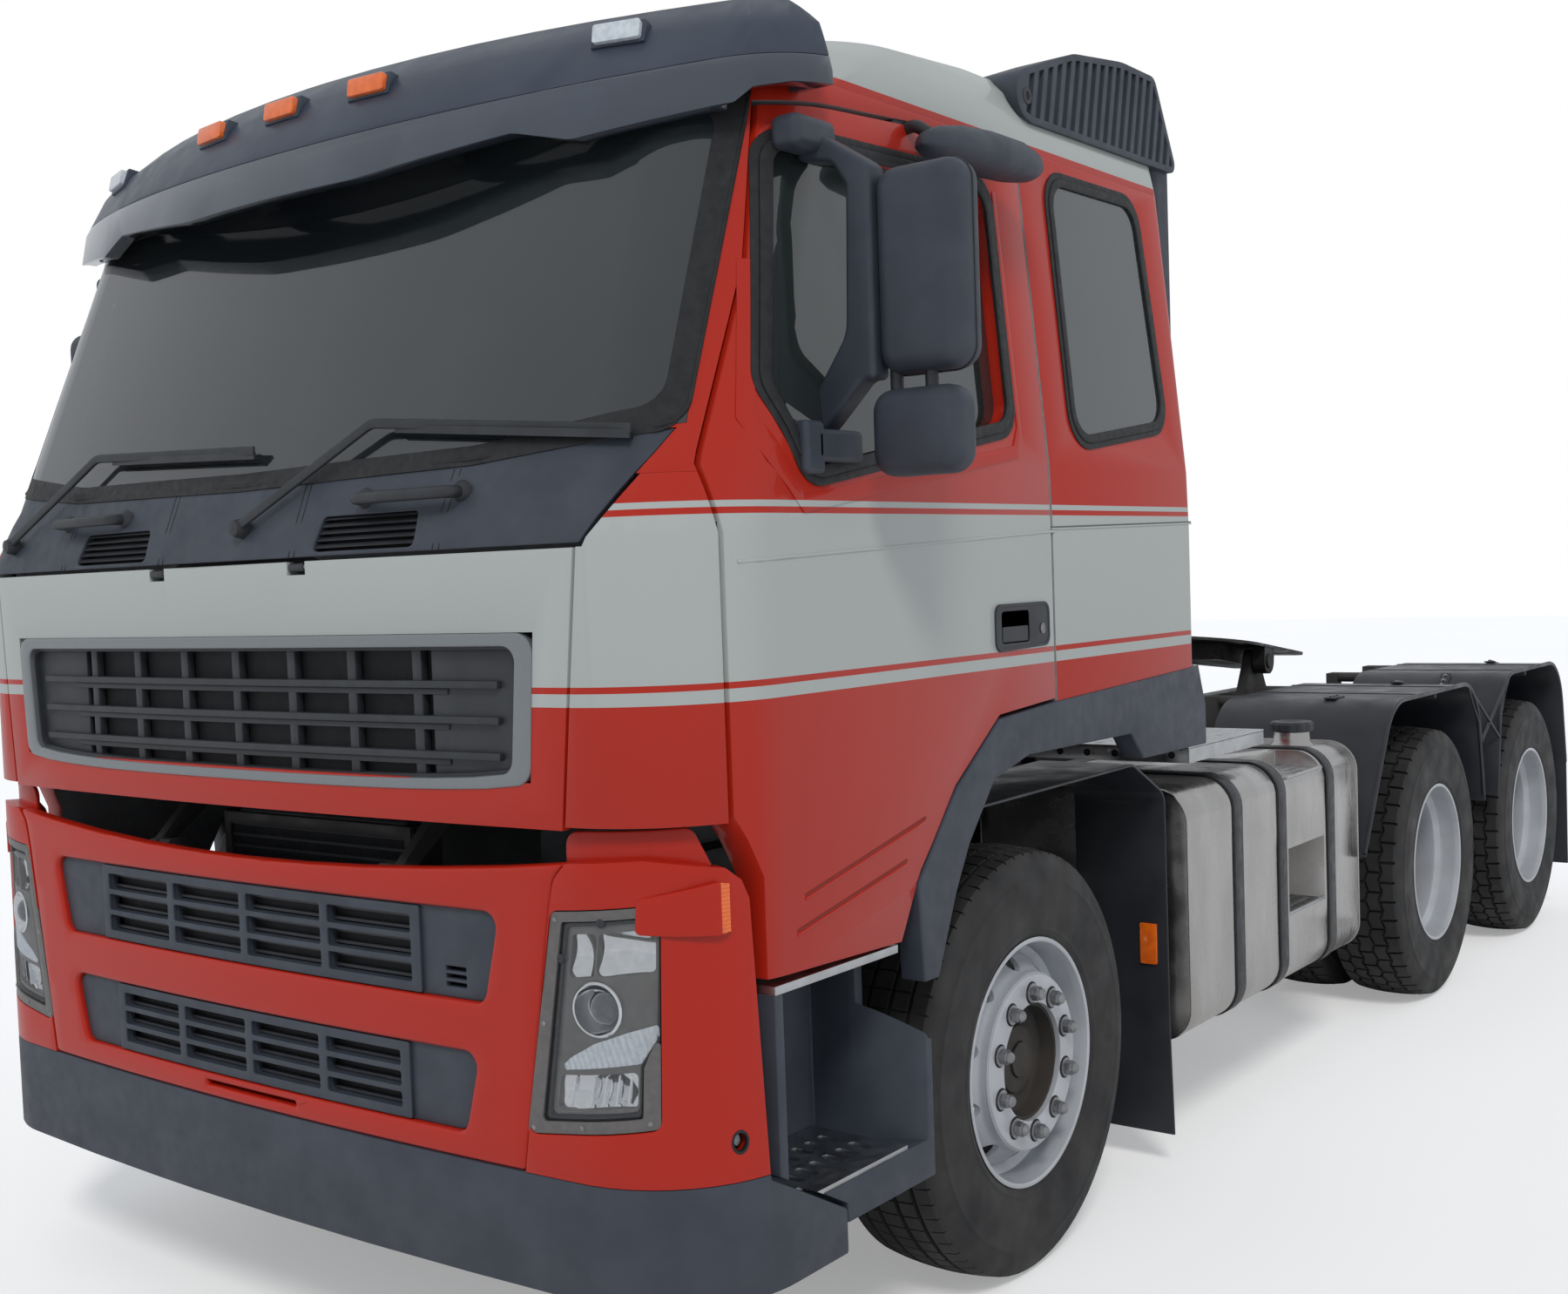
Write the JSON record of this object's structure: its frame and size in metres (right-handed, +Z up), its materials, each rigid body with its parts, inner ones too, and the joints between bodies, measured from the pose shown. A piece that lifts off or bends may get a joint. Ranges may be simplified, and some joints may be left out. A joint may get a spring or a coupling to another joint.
{
  "type": "semi truck tractor unit",
  "caption": "Cab-over truck tractor unit with a low sleeper cab, two driven rear axles on twin tyres, a fuel tank and a tipping coupling plate.",
  "frame": {"origin": "on the ground, under the middle of the overall length and width", "axes": "+Z up, the front of the vehicle faces -Y, its left side is +X"},
  "size_m": [3.05, 6.745, 3.034],
  "materials": {
    "frame_steel": "satin dark grey paint",
    "axle_iron": "dark cast iron",
    "spring_steel": "black paint",
    "engine_iron": "grey cast iron",
    "radiator_alloy": "dull aluminium",
    "body_paint": "gloss orange-red paint",
    "dark_plastic": "grained dark blue-grey plastic",
    "grille_grey": "metallic grey",
    "lamp_clear": "clear lens over bright reflectors",
    "lamp_red": "red lens",
    "tread_alloy": "bright aluminium",
    "tank_alloy": "satin aluminium",
    "strap_black": "black",
    "guard_plastic": "black plastic",
    "fifth_black": "black, greased",
    "glass_tint": "tinted glass",
    "visor_smoke": "smoked acrylic",
    "seat_cloth": "grey cloth",
    "dash_plastic": "soft grey plastic",
    "tyre": "black rubber",
    "wheel_steel": "silver paint"
  },
  "bodies": {
    "chassis": {"frame_rails": "frame_steel", "cross_members": "frame_steel", "tilt_bearings": "axle_iron", "front_axle": "axle_iron", "leaf_springs": "spring_steel", "drive_axles": "axle_iron", "engine": "engine_iron", "radiator": "radiator_alloy", "driveline": "engine_iron", "bumper": "body_paint", "bumper_apron": "dark_plastic", "bumper_grilles": "dark_plastic", "headlamps": "lamp_clear", "step_boxes": "dark_plastic", "step_treads": "tread_alloy", "front_mudguards": "guard_plastic", "fuel_tank": "tank_alloy", "tank_straps": "strap_black", "battery_box": "guard_plastic", "silencer": "tank_alloy", "catwalk": "tread_alloy", "rear_mudguards": "guard_plastic", "mudguard_brackets": "frame_steel", "fifth_wheel_base": "frame_steel", "tail_lamps": "lamp_red"},
    "fifth_wheel_plate": {"fifth_wheel": "fifth_black"},
    "cab": {"cab_shell": "body_paint", "cab_roof": "body_paint", "windscreen": "glass_tint", "quarter_glass": "glass_tint", "corner_panels": "body_paint", "cowl": "dark_plastic", "visor_hood": "dark_plastic", "visor_lip": "visor_smoke", "arch_trims": "dark_plastic", "air_intake": "dark_plastic", "seats": "seat_cloth", "dashboard": "dash_plastic"},
    "front_hatch": {"front_panel": "body_paint", "grille": "grille_grey"},
    "door_left": {"door_left": "body_paint", "door_glass_left": "glass_tint", "mirrors_left": "dark_plastic"},
    "knuckle_left": {"knuckle_left": "axle_iron"},
    "front_wheel_left": {"tyre_front_left": "tyre", "rim_front_left": "wheel_steel"},
    "drive_wheels1_left": {"tyres_drive1_left": "tyre", "rims_drive1_left": "wheel_steel"},
    "drive_wheels2_left": {"tyres_drive2_left": "tyre", "rims_drive2_left": "wheel_steel"},
    "door_right": {"door_right": "body_paint", "door_glass_right": "glass_tint", "mirrors_right": "dark_plastic"},
    "knuckle_right": {"knuckle_right": "axle_iron"},
    "front_wheel_right": {"tyre_front_right": "tyre", "rim_front_right": "wheel_steel"},
    "drive_wheels1_right": {"tyres_drive1_right": "tyre", "rims_drive1_right": "wheel_steel"},
    "drive_wheels2_right": {"tyres_drive2_right": "tyre", "rims_drive2_right": "wheel_steel"}
  },
  "joints": [
    {"name": "cab_tilt", "type": "hinge", "parent": "chassis", "child": "cab", "pos_m": [0, -3.2875, 1.11], "axis": [1, 0, 0], "range_deg": [0, 60]},
    {"name": "hatch_lift", "type": "hinge", "parent": "cab", "child": "front_hatch", "pos_m": [0, -3.3635, 1.76], "axis": [-1, 0, 0], "range_deg": [0, 80]},
    {"name": "fifth_wheel_tip", "type": "hinge", "parent": "chassis", "child": "fifth_wheel_plate", "pos_m": [0, 1.5625, 1.262], "axis": [1, 0, 0], "range_deg": [0, 18]},
    {"name": "door_left_hinge", "type": "hinge", "parent": "cab", "child": "door_left", "pos_m": [1.205, -3.1325, 1.4], "axis": [0, 0, -1], "range_deg": [0, 70]},
    {"name": "steer_left", "type": "hinge", "parent": "chassis", "child": "knuckle_left", "pos_m": [0.96, -1.9975, 0.515], "axis": [0, 0, 1], "range_deg": [-38, 38]},
    {"name": "roll_front_left", "type": "hinge", "parent": "knuckle_left", "child": "front_wheel_left", "pos_m": [1.07, -1.9975, 0.515], "axis": [1, 0, 0], "continuous": true},
    {"name": "roll_drive1_left", "type": "hinge", "parent": "chassis", "child": "drive_wheels1_left", "pos_m": [0.925, 1.2025, 0.515], "axis": [1, 0, 0], "continuous": true},
    {"name": "roll_drive2_left", "type": "hinge", "parent": "chassis", "child": "drive_wheels2_left", "pos_m": [0.925, 2.5725, 0.515], "axis": [1, 0, 0], "continuous": true},
    {"name": "door_right_hinge", "type": "hinge", "parent": "cab", "child": "door_right", "pos_m": [-1.205, -3.1325, 1.4], "axis": [0, 0, 1], "range_deg": [0, 70]},
    {"name": "steer_right", "type": "hinge", "parent": "chassis", "child": "knuckle_right", "pos_m": [-0.96, -1.9975, 0.515], "axis": [0, 0, 1], "range_deg": [-38, 38]},
    {"name": "roll_front_right", "type": "hinge", "parent": "knuckle_right", "child": "front_wheel_right", "pos_m": [-1.07, -1.9975, 0.515], "axis": [1, 0, 0], "continuous": true},
    {"name": "roll_drive1_right", "type": "hinge", "parent": "chassis", "child": "drive_wheels1_right", "pos_m": [-0.925, 1.2025, 0.515], "axis": [1, 0, 0], "continuous": true},
    {"name": "roll_drive2_right", "type": "hinge", "parent": "chassis", "child": "drive_wheels2_right", "pos_m": [-0.925, 2.5725, 0.515], "axis": [1, 0, 0], "continuous": true}
  ],
  "couplings": [
    {"joint": "steer_right", "follows": "steer_left", "ratio": 1}
  ]
}
